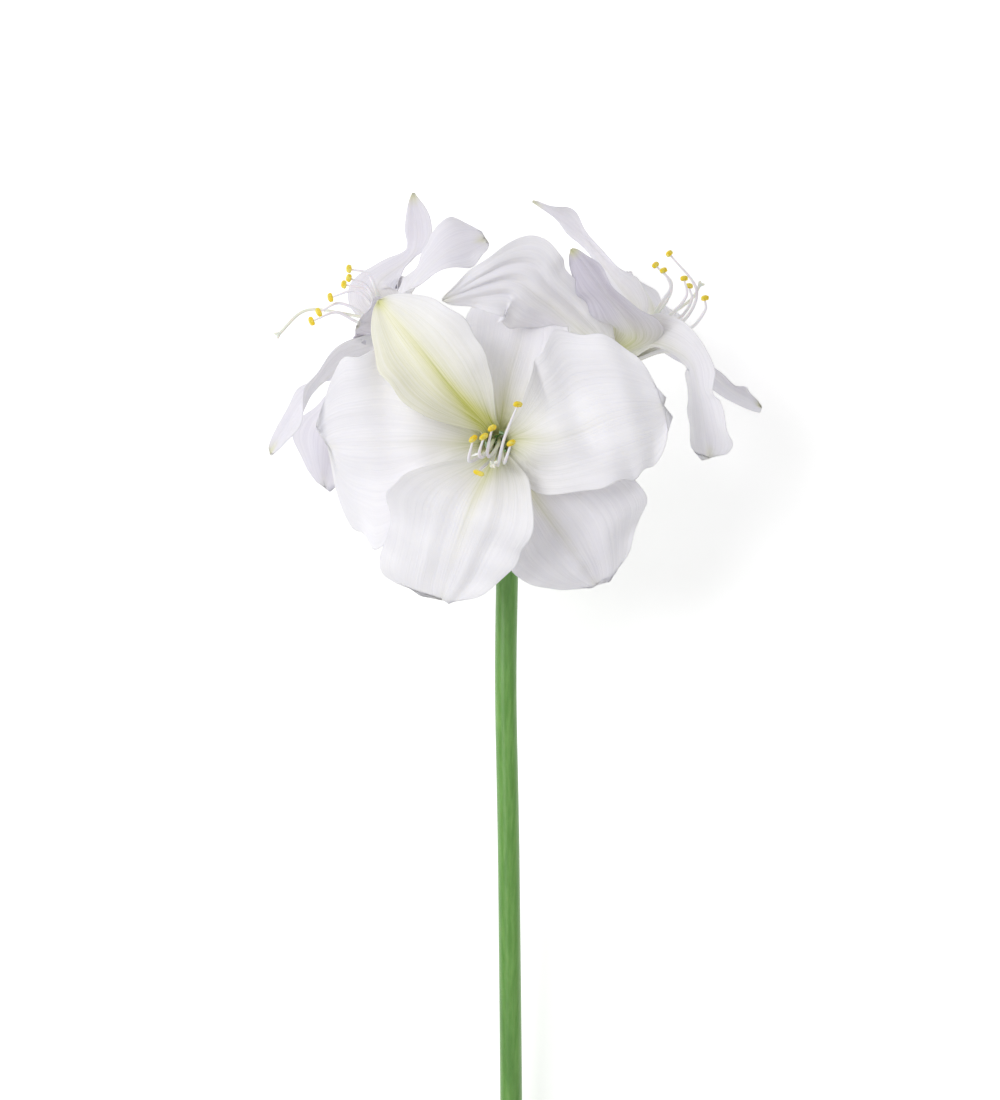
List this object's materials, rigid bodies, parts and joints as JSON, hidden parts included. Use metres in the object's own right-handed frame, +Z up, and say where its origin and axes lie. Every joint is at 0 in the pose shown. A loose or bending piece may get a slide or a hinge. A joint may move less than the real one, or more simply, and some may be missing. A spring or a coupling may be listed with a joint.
{
  "type": "amaryllis flower",
  "caption": "Cut white amaryllis: a round leafless green scape that forks at its top into open, ruffled blooms with yellow anthers, lying on its back.",
  "frame": {"origin": "middle of the bounding box's footprint, on the surface that the flower lies on", "axes": "+Y along the scape from its cut end to the blooms, +Z up from the surface, +X to the right of someone who looks down on the flower from above with the cut end towards them"},
  "size_m": [0.2466, 0.5996, 0.1659],
  "materials": {
    "tepal": "soft satin petal, white with a yellow-green throat and fine lengthwise veins",
    "filament": "smooth white, pale green at the base",
    "anther": "mealy yellow-orange pollen",
    "style": "smooth, pale yellow-green towards the stigma",
    "scape": "satin green with fine lengthwise streaks"
  },
  "bodies": {
    "root": {"scape": "scape", "front_tepal_1": "tepal", "front_tepal_2": "tepal", "front_tepal_3": "tepal", "front_tepal_4": "tepal", "front_tepal_5": "tepal", "front_tepal_6": "tepal", "front_filament_1": "filament", "front_anther_1": "anther", "front_filament_2": "filament", "front_anther_2": "anther", "front_filament_3": "filament", "front_anther_3": "anther", "front_filament_4": "filament", "front_anther_4": "anther", "front_filament_5": "filament", "front_anther_5": "anther", "front_filament_6": "filament", "front_anther_6": "anther", "front_style": "style", "left_tepal_1": "tepal", "left_tepal_2": "tepal", "left_tepal_3": "tepal", "left_tepal_4": "tepal", "left_tepal_5": "tepal", "left_tepal_6": "tepal", "left_filament_1": "filament", "left_anther_1": "anther", "left_filament_2": "filament", "left_anther_2": "anther", "left_filament_3": "filament", "left_anther_3": "anther", "left_filament_4": "filament", "left_anther_4": "anther", "left_filament_5": "filament", "left_anther_5": "anther", "left_filament_6": "filament", "left_anther_6": "anther", "left_style": "style", "right_tepal_1": "tepal", "right_tepal_2": "tepal", "right_tepal_3": "tepal", "right_tepal_4": "tepal", "right_tepal_5": "tepal", "right_tepal_6": "tepal", "right_filament_1": "filament", "right_anther_1": "anther", "right_filament_2": "filament", "right_anther_2": "anther", "right_filament_3": "filament", "right_anther_3": "anther", "right_filament_4": "filament", "right_anther_4": "anther", "right_filament_5": "filament", "right_anther_5": "anther", "right_filament_6": "filament", "right_anther_6": "anther", "right_style": "style"}
  },
  "joints": []
}
